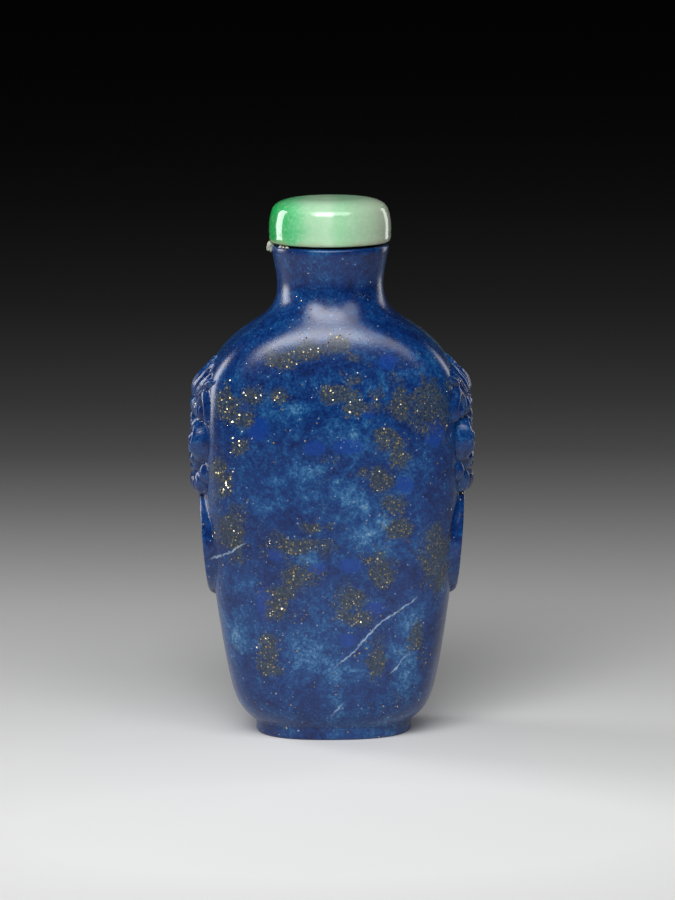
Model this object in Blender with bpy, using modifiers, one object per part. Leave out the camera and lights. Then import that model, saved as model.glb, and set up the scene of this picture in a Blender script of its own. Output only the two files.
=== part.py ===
"""A flattened snuff bottle of lapis lazuli with a domed jadeite stopper.

The bottle is one stone: foot, body, neck and lip, with an animal mask and a mock ring carved on each narrow side and
a hollow bored out through the neck. The stopper is a second piece that rests on the lip.
Metres, +Z up. The broad front faces -Y, the masks face -X and +X, and the origin is the centre of the foot's underside.
"""

import math

import bmesh
import bpy
import numpy as np
from mathutils import Matrix, Vector

MM = 0.001

# Driving dimensions
TOTAL_HEIGHT = 67.0 * MM
BODY_HALF_WIDTH = 15.8 * MM
BODY_HALF_DEPTH = 10.5 * MM
FOOT_HALF_WIDTH = 9.75 * MM
FOOT_HALF_DEPTH = 7.2 * MM
FOOT_HEIGHT = 1.5 * MM
FOOT_SQUARENESS = 2.4
FOOT_RIM = 1.7 * MM
RECESS_DEPTH = 0.6 * MM
NECK_RADIUS = 6.6 * MM
LIP_RADIUS = 7.3 * MM
LIP_TOP = 61.2 * MM
EDGE_ROUND = 0.35 * MM

# Inside: how thick the stone is left, and where the hollow closes in to the bore through the neck
WALL = 2.8 * MM
WALL_DROP = 2.2 * MM
BORE_RADIUS = 3.5 * MM
BORE_BOTTOM = 53.2 * MM
HOLLOW_FLOOR = 5.0 * MM
HOLLOW_ROUND = 2.5 * MM
HOLLOW_SQUARENESS = 3.0
HOLLOW_SHOULDER = np.array([44.0, 46.0, 47.6, 49.0, 50.2, 51.2, 52.2]) * MM

# Stopper: widest a little above its seat, with a gap to the lip, and its dome as radius and drop from the top there
STOPPER_RADIUS = 7.55 * MM
STOPPER_SEAT_RADIUS = 7.45 * MM
STOPPER_WIDEST = 1.6 * MM
SEAT_GAP = 0.3 * MM
STOPPER_DOME = np.array([(3.0, 0.07), (5.4, 0.28), (6.35, 0.62), (6.95, 1.1), (7.3, 1.9), (7.5, 2.9)]) * MM

# Outline of the body, from the foot's top to the lip: height, half width, half depth, and the squareness of the
# section there (2 is an ellipse, 4 a rounded rectangle).
BODY_STATIONS = (
    (FOOT_HEIGHT, FOOT_HALF_WIDTH, FOOT_HALF_DEPTH, 2.4),
    (2.7 * MM, 11.05 * MM, 8.1 * MM, 2.7),
    (4.2 * MM, 12.0 * MM, 8.8 * MM, 3.0),
    (7.0 * MM, 12.85 * MM, 9.35 * MM, 3.4),
    (12.0 * MM, 13.75 * MM, 9.8 * MM, 3.8),
    (24.0 * MM, 15.25 * MM, 10.4 * MM, 4.2),
    (36.0 * MM, BODY_HALF_WIDTH, BODY_HALF_DEPTH, 4.2),
    (42.0 * MM, 15.65 * MM, 10.3 * MM, 4.2),
    (45.6 * MM, 15.05 * MM, 9.8 * MM, 4.2),
    (48.2 * MM, 13.5 * MM, 9.1 * MM, 4.0),
    (50.2 * MM, 11.4 * MM, 8.3 * MM, 3.8),
    (51.8 * MM, 9.1 * MM, 7.5 * MM, 3.4),
    (53.2 * MM, 7.55 * MM, 6.95 * MM, 2.7),
    (54.8 * MM, 6.75 * MM, 6.65 * MM, 2.1),
    (57.0 * MM, NECK_RADIUS, NECK_RADIUS, 2.0),
    (59.2 * MM, 6.95 * MM, 6.95 * MM, 2.0),
    (LIP_TOP - 0.35 * MM, LIP_RADIUS, LIP_RADIUS, 2.0),
)
# Mock ring: a flat band that lies against the narrow side, with its top under the mask's jaw
RING_HEIGHT = 24.4 * MM
RING_OUTER = 6.9 * MM
RING_INNER = 5.0 * MM
RING_PROUD = 0.85 * MM
RING_DEPTH = 2.4 * MM
RING_EDGE = 0.25 * MM

# Mask, as lobes: distance from its middle line, height, half width, half height, half thickness, and how far from
# the bottle's middle plane its crest reaches. A lobe off the middle line has a twin across it.
MASK_BLOCKS = {
    "brow_block": (0.0, 39.8, 6.9, 6.4, 2.5, 16.75),
    "muzzle_block": (0.0, 35.4, 6.0, 4.9, 2.6, 17.2),
}
MASK_LOBES = {
    "eye": (2.3, 39.2, 1.35, 1.2, 0.9, 17.4),
    "nose_bridge": (0.0, 39.2, 0.85, 2.6, 0.8, 17.6),
    "nose_tip": (0.0, 36.7, 1.8, 1.0, 0.9, 17.85),
    "muzzle_pad": (1.75, 35.0, 1.75, 1.05, 0.8, 17.7),
    "cheek": (4.75, 37.4, 1.75, 2.65, 1.45, 17.5),
    "cheek_scroll": (5.5, 37.8, 0.85, 1.3, 0.75, 17.6),
    "chin": (1.3, 32.1, 1.4, 1.6, 1.0, 17.65),
    "jowl": (3.95, 32.4, 1.45, 1.7, 1.0, 17.1),
}
# Mask, as strands: points along each, as distance from the middle line, height and radius.
MASK_STRANDS = {
    "crown_lock": ((0.0, 42.0, 0.45), (0.0, 44.2, 0.95), (0.0, 47.2, 0.3)),
    "inner_lock": ((1.3, 42.2, 0.45), (2.1, 44.3, 0.9), (3.2, 46.7, 0.3)),
    "outer_lock": ((2.9, 42.5, 0.45), (4.1, 44.1, 0.85), (5.4, 45.8, 0.3)),
    "brow": ((0.5, 40.5, 0.5), (1.9, 41.9, 0.8), (3.3, 41.7, 0.7), (3.6, 40.6, 0.4)),
    "ear": ((6.7, 40.3, 0.4), (6.3, 42.6, 0.6), (5.4, 43.4, 0.65), (4.6, 42.7, 0.6), (4.4, 40.8, 0.45)),
    "lip": ((0.3, 33.9, 0.4), (2.1, 33.7, 0.5), (3.6, 33.9, 0.5), (4.3, 35.0, 0.4)),
}
STRAND_LIFT = 0.25

# How finely the shapes are divided
ROWS_PER_SPAN = 2
ROUNDING_TURNS = (45, 90)
SECTION_POINTS = 40
HOLLOW_POINTS = 28
RING_STEPS = 28
STOPPER_STEPS = 40
LOBE_SEGMENTS = 8
LOBE_RINGS = 5
STRAND_STEPS = 2
OUTLINE_STEPS = 16
WELD = 0.00001

LAPIS = (0.012, 0.045, 0.16, 1.0)
JADEITE = (0.45, 0.75, 0.5, 1.0)


def clear_scene():
    for old in list(bpy.data.objects):
        bpy.data.objects.remove(old)


def new_collection(name):
    made = bpy.data.collections.new(name)
    bpy.context.scene.collection.children.link(made)
    return made


def make_material(name, colour, roughness):
    made = bpy.data.materials.new(name)
    made.use_nodes = True
    shader = made.node_tree.nodes["Principled BSDF"]
    shader.inputs["Base Color"].default_value = colour
    shader.inputs["Roughness"].default_value = roughness
    shader.inputs["Metallic"].default_value = 0.0
    return made


def add_object(name, mesh, collection):
    made = bpy.data.objects.new(name, mesh)
    collection.objects.link(made)
    return made


def mark_as_cutter(obj):
    """A helper shape, which shapes its host and isn't a part itself."""
    obj.hide_render = True
    obj.display_type = "WIRE"


def spline_through(stations, per_span):
    """Rows on a natural cubic spline through the stations, spaced by chord length, per_span rows to each gap."""
    points = np.array(stations)
    knots = np.concatenate([[0.0], np.cumsum(np.linalg.norm(np.diff(points[:, :2], axis=0), axis=1))])
    gaps = np.diff(knots)
    count = len(points)
    system = np.eye(count)
    right = np.zeros_like(points)
    for i in range(1, count - 1):
        system[i, i - 1 : i + 2] = gaps[i - 1], 2 * (gaps[i - 1] + gaps[i]), gaps[i]
        right[i] = 6 * ((points[i + 1] - points[i]) / gaps[i] - (points[i] - points[i - 1]) / gaps[i - 1])
    bends = np.linalg.solve(system, right)
    rows = []
    for i, gap in enumerate(gaps):
        for step in range(per_span):
            b = step / per_span
            a = 1 - b
            pull = ((a**3 - a) * bends[i] + (b**3 - b) * bends[i + 1]) * gap**2 / 6
            rows.append(a * points[i] + b * points[i + 1] + pull)
    rows.append(points[-1])
    return np.array(rows)


OUTLINE = spline_through(BODY_STATIONS, OUTLINE_STEPS)


def outline_at(height):
    """Half width, half depth and squareness of the body at a height."""
    return tuple(np.interp(height, OUTLINE[:, 0], OUTLINE[:, column]) for column in (1, 2, 3))


def narrow_side(lateral, height):
    """How far out the bare narrow side is, at a distance across it from its middle line."""
    half_width, half_depth, squareness = outline_at(height)
    across = min(abs(lateral) / half_depth, 1.0)
    return half_width * (1 - across**squareness) ** (1 / squareness)


def section(height, half_width, half_depth, squareness, count):
    """One loop round the bottle: a superellipse, so that one formula gives the round neck and the squarer body."""
    power = 2 / squareness
    loop = []
    for i in range(count):
        angle = 2 * math.pi * i / count
        along, across = math.cos(angle), math.sin(angle)
        x = half_width * math.copysign(abs(along) ** power, along)
        y = half_depth * math.copysign(abs(across) ** power, across)
        loop.append(Vector((x, y, height)))
    return loop


def loft(name, loops, collection):
    """A closed solid through loops of equal count, each turning anticlockwise seen from above, lowest first."""
    shape = bmesh.new()
    rings = [[shape.verts.new(point) for point in loop] for loop in loops]
    count = len(rings[0])
    for lower, upper in zip(rings, rings[1:]):
        for i in range(count):
            j = (i + 1) % count
            shape.faces.new((lower[i], lower[j], upper[j], upper[i]))
    shape.faces.new(list(reversed(rings[0])))
    shape.faces.new(rings[-1])
    mesh = bpy.data.meshes.new(name)
    shape.to_mesh(mesh)
    shape.free()
    return add_object(name, mesh, collection)


def quarter_round(row, rounding, upward):
    """Rows that carry the wall at this row inwards through a quarter round, above it or below it."""
    height, half_width, half_depth, squareness = row
    rows = []
    for degrees in ROUNDING_TURNS:
        inset = rounding * (1 - math.cos(math.radians(degrees)))
        rise = rounding * math.sin(math.radians(degrees)) * upward
        rows.append((height + rise, half_width - inset, half_depth - inset, squareness))
    return rows[::upward]


def stopper_profile():
    """From the middle of the dome out to the rounded shoulder, down the side and in under the flat seat."""
    seat = LIP_TOP + SEAT_GAP
    points = [(0.0, TOTAL_HEIGHT)]
    for radius, drop in STOPPER_DOME:
        points.append((radius, TOTAL_HEIGHT - drop))
    points.append((STOPPER_RADIUS, seat + STOPPER_WIDEST))
    points.append((STOPPER_SEAT_RADIUS, seat + EDGE_ROUND * 0.7))
    points.append((STOPPER_SEAT_RADIUS - EDGE_ROUND * 0.7, seat))
    points.append((0.0, seat))
    return points


def build_outer_body(collection):
    foot = [(height, FOOT_HALF_WIDTH, FOOT_HALF_DEPTH, FOOT_SQUARENESS) for height in (EDGE_ROUND, FOOT_HEIGHT * 0.6)]
    body = [tuple(row) for row in spline_through(BODY_STATIONS, ROWS_PER_SPAN)]
    rows = quarter_round(foot[0], EDGE_ROUND, -1) + foot + body + quarter_round(body[-1], EDGE_ROUND, 1)
    return loft("bottle", [section(*row, SECTION_POINTS) for row in rows], collection)


def build_hollow(collection):
    """The inside: the outline moved in and down by the wall, until only the neck's bore is left."""
    heights = np.concatenate([np.linspace(HOLLOW_FLOOR + HOLLOW_ROUND, HOLLOW_SHOULDER[0], 4), HOLLOW_SHOULDER[1:]])
    rows = []
    for height in heights:
        half_width, half_depth, _ = outline_at(height + WALL_DROP)
        half_width = max(half_width - WALL, BORE_RADIUS)
        half_depth = max(half_depth - WALL, BORE_RADIUS)
        rows.append((height, half_width, half_depth, HOLLOW_SQUARENESS))
    rows = quarter_round(rows[0], HOLLOW_ROUND, -1) + rows
    bore = [(height, BORE_RADIUS, BORE_RADIUS, 2.0) for height in (BORE_BOTTOM, LIP_TOP + MM)]
    hollow = loft("hollow_cutter", [section(*row, HOLLOW_POINTS) for row in rows + bore], collection)
    mark_as_cutter(hollow)
    return hollow


def build_foot_recess(collection):
    """The shallow hollow that leaves a flat rim under the foot."""
    width, depth = FOOT_HALF_WIDTH - FOOT_RIM, FOOT_HALF_DEPTH - FOOT_RIM
    rows = [
        (-MM, width, depth, FOOT_SQUARENESS),
        (RECESS_DEPTH * 0.5, width, depth, FOOT_SQUARENESS),
        (RECESS_DEPTH, width - RECESS_DEPTH, depth - RECESS_DEPTH, FOOT_SQUARENESS),
    ]
    recess = loft("recess_cutter", [section(*row, HOLLOW_POINTS) for row in rows], collection)
    mark_as_cutter(recess)
    return recess


def ellipsoid(name, centre, radii, segments, rings, collection):
    shape = bmesh.new()
    bmesh.ops.create_uvsphere(shape, u_segments=segments, v_segments=rings, radius=1.0)
    bmesh.ops.scale(shape, vec=Vector(radii), verts=shape.verts)
    mesh = bpy.data.meshes.new(name)
    shape.to_mesh(mesh)
    shape.free()
    made = add_object(name, mesh, collection)
    made.location = centre
    mark_as_cutter(made)
    return made


def mask_ground(lateral, height):
    """How far out the mask's blocks and the bare side under them reach, at a point of the mask."""
    reach = narrow_side(lateral, height)
    for across, level, half_width, half_height, half_thickness, crest in MASK_BLOCKS.values():
        left = 1 - ((lateral / MM - across) / half_width) ** 2 - ((height / MM - level) / half_height) ** 2
        if left > 0:
            reach = max(reach, (crest - half_thickness + half_thickness * math.sqrt(left)) * MM)
    return reach


def build_strand(name, controls, turn, collection):
    """A carved strand: a tapering tube along the mask's ground, made a mesh so that it can be joined."""
    curve = bpy.data.curves.new(name, "CURVE")
    curve.dimensions = "3D"
    curve.bevel_depth = 1.0
    curve.bevel_resolution = 1
    curve.use_fill_caps = True
    path = spline_through(controls, STRAND_STEPS)
    spline = curve.splines.new("POLY")
    spline.points.add(len(path) - 1)
    for point, (across, height, radius) in zip(spline.points, path * MM):
        out = mask_ground(across, height) + STRAND_LIFT * radius
        point.co = (out, across, height, 1.0)
        point.radius = radius
    drawn = add_object(name, curve, collection)
    shape = bmesh.new()
    bpy.context.view_layer.update()
    evaluated = drawn.evaluated_get(bpy.context.evaluated_depsgraph_get())
    mesh = bpy.data.meshes.new_from_object(evaluated)
    shape.from_mesh(mesh)
    bmesh.ops.remove_doubles(shape, verts=shape.verts, dist=WELD)
    bmesh.ops.recalc_face_normals(shape, faces=shape.faces)
    bmesh.ops.transform(shape, matrix=turn, verts=shape.verts)
    shape.to_mesh(mesh)
    shape.free()
    bpy.data.objects.remove(drawn)
    strand = add_object(name, mesh, collection)
    mark_as_cutter(strand)
    return strand


def build_mask(side, collection):
    """One animal mask. It is symmetric about its middle line, so the other side's is the same one turned round."""
    turn = Matrix.Rotation(0 if side > 0 else math.pi, 4, "Z")
    for name, (across, height, half_width, half_height, thickness, crest) in (MASK_BLOCKS | MASK_LOBES).items():
        is_block = name in MASK_BLOCKS
        for twin in (1, -1) if across else (1,):
            centre = turn @ Vector((crest - thickness, across * twin, height)) * MM
            radii = Vector((thickness, half_width, half_height)) * MM
            finer = 2 if is_block else 1
            ellipsoid(name, centre, radii, LOBE_SEGMENTS * finer, LOBE_RINGS * finer, collection)
    for name, controls in MASK_STRANDS.items():
        for twin in (1, -1) if controls[1][0] else (1,):
            mirrored = np.array(controls) * (twin, 1, 1)
            build_strand(name, mirrored, turn, collection)


def build_mock_ring(side, collection):
    """A turned flat band, laid against the narrow side and leaning in with it."""
    upper = narrow_side(0, RING_HEIGHT + RING_OUTER)
    lower = narrow_side(0, RING_HEIGHT - RING_OUTER)
    lean = math.atan2(upper - lower, 2 * RING_OUTER)
    profile = [
        (RING_INNER + RING_EDGE, 0.0),
        (RING_OUTER - RING_EDGE, 0.0),
        (RING_OUTER, -RING_EDGE),
        (RING_OUTER, -RING_DEPTH),
        (RING_INNER, -RING_DEPTH),
        (RING_INNER, -RING_EDGE),
    ]
    ring = turned("mock_ring", profile, True, RING_STEPS, collection)
    face = (upper + lower) / 2 + RING_PROUD
    turn = Matrix.Rotation(0 if side > 0 else math.pi, 4, "Z")
    ring.matrix_world = turn @ Matrix.Translation((face, 0, RING_HEIGHT)) @ Matrix.Rotation(math.pi / 2 + lean, 4, "Y")
    mark_as_cutter(ring)
    return ring


def turned(name, profile, is_loop, steps, collection):
    """A solid turned about Z from an outline of radius and height that runs down its outer side."""
    shape = bmesh.new()
    points = [shape.verts.new((radius, 0, height)) for radius, height in profile]
    for start, end in zip(points, points[1:]):
        shape.edges.new((start, end))
    if is_loop:
        shape.edges.new((points[-1], points[0]))
    mesh = bpy.data.meshes.new(name)
    shape.to_mesh(mesh)
    shape.free()
    made = add_object(name, mesh, collection)
    screw = made.modifiers.new("turn", "SCREW")
    screw.axis = "Z"
    screw.steps = steps
    screw.render_steps = steps
    screw.use_merge_vertices = True
    screw.merge_threshold = WELD
    screw.use_normal_calculate = False
    return made


def main():
    clear_scene()
    parts = new_collection("snuff_bottle")
    carvings = new_collection("carvings")
    cutters = new_collection("cutters")

    bottle = build_outer_body(parts)
    bottle.data.materials.append(make_material("lapis_lazuli", LAPIS, 0.2))
    for side in (1, -1):
        build_mask(side, carvings)
        build_mock_ring(side, carvings)
    build_hollow(cutters)
    build_foot_recess(cutters)
    for operation, operands in (("UNION", carvings), ("DIFFERENCE", cutters)):
        modifier = bottle.modifiers.new(operation.lower(), "BOOLEAN")
        modifier.operation = operation
        modifier.operand_type = "COLLECTION"
        modifier.collection = operands
        modifier.solver = "EXACT"

    stopper = turned("stopper", stopper_profile(), False, STOPPER_STEPS, parts)
    stopper.data.materials.append(make_material("jadeite", JADEITE, 0.15))


main()
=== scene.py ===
# %% [markdown]
# # A snuff bottle of lapis lazuli, with a jade stopper
#
# This notebook dresses a small carved bottle, 67 mm tall. The CAD model gives its size and its
# place. Here it gets the finer carving, the stone, the jade, a floor, studio light and a camera.
#
# Nothing in the CAD model is moved. Where it is too coarse, a finer piece stands in its place.

import math

import bpy
import numpy as np
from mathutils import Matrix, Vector


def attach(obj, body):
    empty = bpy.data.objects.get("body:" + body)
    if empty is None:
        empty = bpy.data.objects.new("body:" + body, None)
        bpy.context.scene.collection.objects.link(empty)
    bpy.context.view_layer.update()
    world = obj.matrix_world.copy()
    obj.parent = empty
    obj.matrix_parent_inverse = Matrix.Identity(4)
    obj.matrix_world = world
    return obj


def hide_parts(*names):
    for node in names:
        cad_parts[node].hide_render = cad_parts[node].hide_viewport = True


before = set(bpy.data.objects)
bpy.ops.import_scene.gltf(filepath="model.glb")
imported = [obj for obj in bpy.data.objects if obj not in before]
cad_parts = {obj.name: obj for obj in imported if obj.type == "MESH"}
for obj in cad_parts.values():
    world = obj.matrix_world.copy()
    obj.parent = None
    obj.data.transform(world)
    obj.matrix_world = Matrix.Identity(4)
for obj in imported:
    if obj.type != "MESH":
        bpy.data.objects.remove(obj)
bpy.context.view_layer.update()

# %% [markdown]
# ## Surfaces from formulas
#
# Every new piece is a grid of points, worked out by a formula and closed at both ends. Modelling by
# hand would do as well, but a formula can be measured, changed by one number and repeated exactly.
#
# All the formulas work in millimetres, because that is how a lapidary measures. The grid is turned
# to metres at the end.

# %% Turn a grid of points into a closed piece
MM = 0.001


def closed_grid(name, rings):
    """A closed skin through rings of points, which is an array of rings by points by three, in mm.

    Each ring turns anticlockwise seen from above, and neighbouring rings are joined by four-sided faces. The first and
    last rings are shrunk to one point each, joined by three-sided faces.
    """
    count, around = rings.shape[:2]
    inner = rings[1:-1].reshape(-1, 3)
    points = np.concatenate([inner, rings[0].mean(0)[None], rings[-1].mean(0)[None]]) * MM
    here = np.arange(around)
    ahead = (here + 1) % around
    starts = (np.arange(count - 3) * around)[:, None]
    quads = np.stack([starts + here, starts + ahead, starts + around + ahead, starts + around + here], -1)
    top = (count - 3) * around
    foot_fan = np.stack([np.full(around, len(inner)), ahead, here], -1)
    top_fan = np.stack([np.full(around, len(inner) + 1), top + here, top + ahead], -1)
    mesh = bpy.data.meshes.new(name)
    mesh.from_pydata(points, [], [*quads.reshape(-1, 4).tolist(), *foot_fan.tolist(), *top_fan.tolist()])
    mesh.shade_smooth()
    piece = bpy.data.objects.new(name, mesh)
    bpy.context.scene.collection.objects.link(piece)
    print(name, "has", len(mesh.vertices), "points and", 2 * quads[..., 0].size + 2 * around, "triangles")
    return piece


# %% [markdown]
# ## The bottle's outline
#
# The real bottle was sawn from a block, ground to shape and polished. Its outline is a handful of
# measured stations with a smooth curve through them. Each level is a superellipse, |x/a|^n +
# |y/b|^n = 1. With n at 2 that is the round neck, and with n near 4 it is the squarish body, so one
# formula carries the stone from foot to lip.

# %% A smooth curve through the stations
FOOT_TOP = 1.5
LIP_TOP = 61.2
EDGE_ROUND = 0.35
# Height, half width, half depth and squareness n
STATIONS = np.array(
    [
        (FOOT_TOP, 9.75, 7.2, 2.4),
        (2.7, 11.05, 8.1, 2.7),
        (4.2, 12.0, 8.8, 3.0),
        (7.0, 12.85, 9.35, 3.4),
        (12.0, 13.75, 9.8, 3.8),
        (24.0, 15.25, 10.4, 4.2),
        (36.0, 15.8, 10.5, 4.2),
        (42.0, 15.65, 10.3, 4.2),
        (45.6, 15.05, 9.8, 4.2),
        (48.2, 13.5, 9.35, 4.0),
        (50.2, 11.4, 8.8, 3.8),
        (51.8, 9.1, 8.05, 3.4),
        (53.2, 7.55, 7.3, 2.7),
        (54.8, 6.75, 6.75, 2.1),
        (57.0, 6.6, 6.6, 2.0),
        (59.2, 6.95, 6.95, 2.0),
        (LIP_TOP - EDGE_ROUND, 7.3, 7.3, 2.0),
    ]
)


def spline_through(stations, per_span):
    """Rows on a natural cubic spline through the stations, spaced by distance in the first two columns."""
    points = np.array(stations, float)
    gaps = np.linalg.norm(np.diff(points[:, :2], axis=0), axis=1)
    count = len(points)
    system = np.eye(count)
    right = np.zeros_like(points)
    for i in range(1, count - 1):
        system[i, i - 1 : i + 2] = gaps[i - 1], 2 * (gaps[i - 1] + gaps[i]), gaps[i]
        slope_after = (points[i + 1] - points[i]) / gaps[i]
        slope_before = (points[i] - points[i - 1]) / gaps[i - 1]
        right[i] = 6 * (slope_after - slope_before)
    bends = np.linalg.solve(system, right)
    b = np.tile(np.arange(per_span) / per_span, count - 1)[:, None]
    a = 1 - b
    i = np.repeat(np.arange(count - 1), per_span)
    pull = ((a**3 - a) * bends[i] + (b**3 - b) * bends[i + 1]) * gaps[i, None] ** 2 / 6
    return np.concatenate([a * points[i] + b * points[i + 1] + pull, points[-1:]])


OUTLINE = spline_through(STATIONS, 40)


def outline_at(height):
    """Half width, half depth and squareness of the body at each height."""
    return [np.interp(height, OUTLINE[:, 0], OUTLINE[:, column]) for column in (1, 2, 3)]


def bare_side(across, height):
    """How far out the plain narrow side is: a * (1 - |y/b|^n)^(1/n)."""
    width, depth, squareness = outline_at(height)
    share = np.minimum(np.abs(across) / depth, 1)
    return width * (1 - share**squareness) ** (1 / squareness)


print("widest half width:", OUTLINE[:, 1].max().round(2), "mm")

# %% [markdown]
# ## The carved masks
#
# Each narrow side carries a beast's mask in low relief. A carver leaves a raised block, divides it
# into round masses, and then cuts hair, curls and wrinkles with small wheels fed with grit. The
# same order is kept here.
#
# The relief is a height field: for a distance across the side and a height, how far out the stone
# is. Masses are joined by a soft maximum, which leaves the small rounded valleys that a wheel
# leaves.

# %% Joining, lobes and paths
def join(low, high, softness=0.14):
    """The larger of two heights, with a rounded valley where they are within `softness` of each other."""
    near = np.maximum(softness - np.abs(low - high), 0) / softness
    return np.maximum(low, high) + near * near * softness / 4


def smooth_step(value, start, end):
    """0 before start, 1 after end, and an S-curve between them."""
    share = np.clip((value - start) / (end - start), 0, 1)
    return share * share * (3 - 2 * share)


def lobe_share(across, height, centre, half, turn=0.0):
    """Squared distance from a lobe's centre as a share of its half sizes: 0 in the middle, 1 on its edge."""
    cos, sin = math.cos(math.radians(turn)), math.sin(math.radians(turn))
    side, up = across - centre[0], height - centre[1]
    return ((side * cos + up * sin) / half[0]) ** 2 + ((up * cos - side * sin) / half[1]) ** 2


def lobe(across, height, spec, turn=0.0):
    """An ellipsoid's outer half, falling away steeply outside it.

    Inside its edge it is crest - thickness + thickness * sqrt(1 - share).
    """
    s, z, half_width, half_height, thickness, crest = spec
    share = lobe_share(across, height, (s, z), (half_width, half_height), turn)
    return crest - thickness + thickness * np.sqrt(np.maximum(1 - share, 0)) - 6 * np.maximum(share - 1, 0)


def along_path(across, height, controls):
    """For each point: signed distance to the path, distance along it, and the path's radius there."""
    path = spline_through(controls, 14)
    travelled = np.concatenate([[0], np.cumsum(np.linalg.norm(np.diff(path[:, :2], axis=0), axis=1))])
    ahead = np.gradient(path[:, :2], axis=0)
    ahead /= np.linalg.norm(ahead, axis=1)[:, None]
    side = across[:, None] - path[:, 0]
    up = height[:, None] - path[:, 1]
    nearest = np.argmin(side**2 + up**2 - 0.5 * path[:, 2] ** 2, axis=1)
    pick = np.arange(len(across)), nearest
    run = side[pick] * ahead[nearest, 0] + up[pick] * ahead[nearest, 1]
    offset = ahead[nearest, 0] * up[pick] - ahead[nearest, 1] * side[pick]
    before = np.where(nearest == 0, np.minimum(run, 0), 0)
    past = before + np.where(nearest == len(path) - 1, np.maximum(run, 0), 0)
    distance = np.sign(offset) * np.hypot(offset, past)
    return distance, travelled[nearest] + run, path[nearest, 2]


# %% The masses of the mask
# Across from the middle line, height, half width, half height, half thickness, and how far out the crest stands
BLOCKS = {
    "brow_block": (0.0, 39.8, 6.9, 6.4, 2.5, 16.75),
    "muzzle_block": (0.0, 35.4, 6.0, 4.9, 2.6, 17.2),
}
LOBES = {
    "nose_bridge": (0.0, 39.2, 0.85, 2.6, 0.8, 17.6),
    "nose_tip": (0.0, 36.75, 1.1, 1.0, 0.9, 17.85),
    "nostril_wing": (1.2, 36.65, 0.8, 0.75, 0.75, 17.7),
    "muzzle_pad": (1.75, 35.0, 1.75, 1.05, 0.8, 17.7),
    "cheek": (4.75, 37.4, 1.75, 2.65, 1.45, 17.5),
    "chin": (1.3, 32.1, 1.4, 1.6, 1.0, 17.65),
    "jowl": (3.95, 32.4, 1.45, 1.7, 1.0, 17.1),
    "side_jowl": (5.45, 33.6, 0.95, 1.35, 0.9, 16.35),
}
# Points along each strand: across, height and radius
LOCKS = {
    "crown_lock": ((0.0, 42.0, 0.45), (0.0, 44.2, 0.95), (0.0, 47.2, 0.3)),
    "inner_lock": ((1.3, 42.2, 0.45), (2.1, 44.3, 0.9), (3.2, 46.7, 0.3)),
    "outer_lock": ((2.9, 42.5, 0.45), (4.1, 44.1, 0.85), (5.4, 45.8, 0.3)),
    "side_lock": ((4.8, 43.7, 0.35), (5.8, 44.7, 0.6), (6.8, 45.1, 0.25)),
}
STRANDS = {
    "brow": ((0.5, 40.5, 0.5), (1.9, 41.9, 0.8), (3.3, 41.7, 0.7), (3.6, 40.6, 0.4)),
    "ear": ((6.7, 40.3, 0.4), (6.3, 42.6, 0.6), (5.4, 43.4, 0.65), (4.6, 42.7, 0.6), (4.4, 40.8, 0.45)),
    "lip": ((0.3, 33.9, 0.4), (2.1, 33.7, 0.5), (3.6, 33.9, 0.5), (4.3, 35.0, 0.4)),
}
STRAND_LIFT = 0.25


def mask_ground(across, height):
    """The bare side with the mask's two big blocks on it."""
    ground = bare_side(across, height)
    for spec in BLOCKS.values():
        ground = join(ground, lobe(across, height, spec), 0.3)
    return ground


def strand(across, height, ground, controls):
    """A round strand half sunk in the ground: ground + lift * r + sqrt(r^2 - distance^2)."""
    distance, along, radius = along_path(across, height, controls)
    left = radius**2 - distance**2
    rise = STRAND_LIFT * radius + np.sqrt(np.maximum(left, 0)) - 9 * np.maximum(-left, 0)
    return ground + rise, distance, along, radius


def groove(across, height, controls, depth, width):
    """A cut along a path, as deep as `depth` on its line and fading as a bell over `width`."""
    distance, along, _ = along_path(across, height, [(*point, 0.0) for point in controls])
    return depth * np.exp(-((distance / width) ** 2))


def drill(across, height, centre, half, depth, turn=0.0):
    """A round-bottomed dimple: depth * (1 - share) inside its edge."""
    share = lobe_share(across, height, centre, half, turn)
    return depth * np.maximum(1 - share, 0) ** 0.7


# %% [markdown]
# The hair is cut along each lock, so the grooves gather at its tip. They are drawn by the distance
# from the lock's middle line, divided by its radius. Brow hairs run across the strand, so they go
# by the distance along it.

# %% The mask, mass by mass
EYE = (2.3, 39.2)
EYE_HALF = (1.3, 1.1)
CURL = ((3.9, 39.2, 0.22), (4.9, 39.9, 0.3), (5.9, 39.1, 0.34), (6.1, 37.6, 0.34), (5.4, 36.3, 0.34))
CURL_END = ((4.5, 36.3, 0.32), (4.2, 37.3, 0.3), (4.7, 38.2, 0.28), (5.3, 37.8, 0.26), (5.1, 37.1, 0.24))
TUSK = (2.55, 33.15)
MOUTH = ((0.0, 33.2), (1.6, 33.0), (3.1, 33.1), (4.3, 33.9), (4.8, 34.8))


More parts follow.
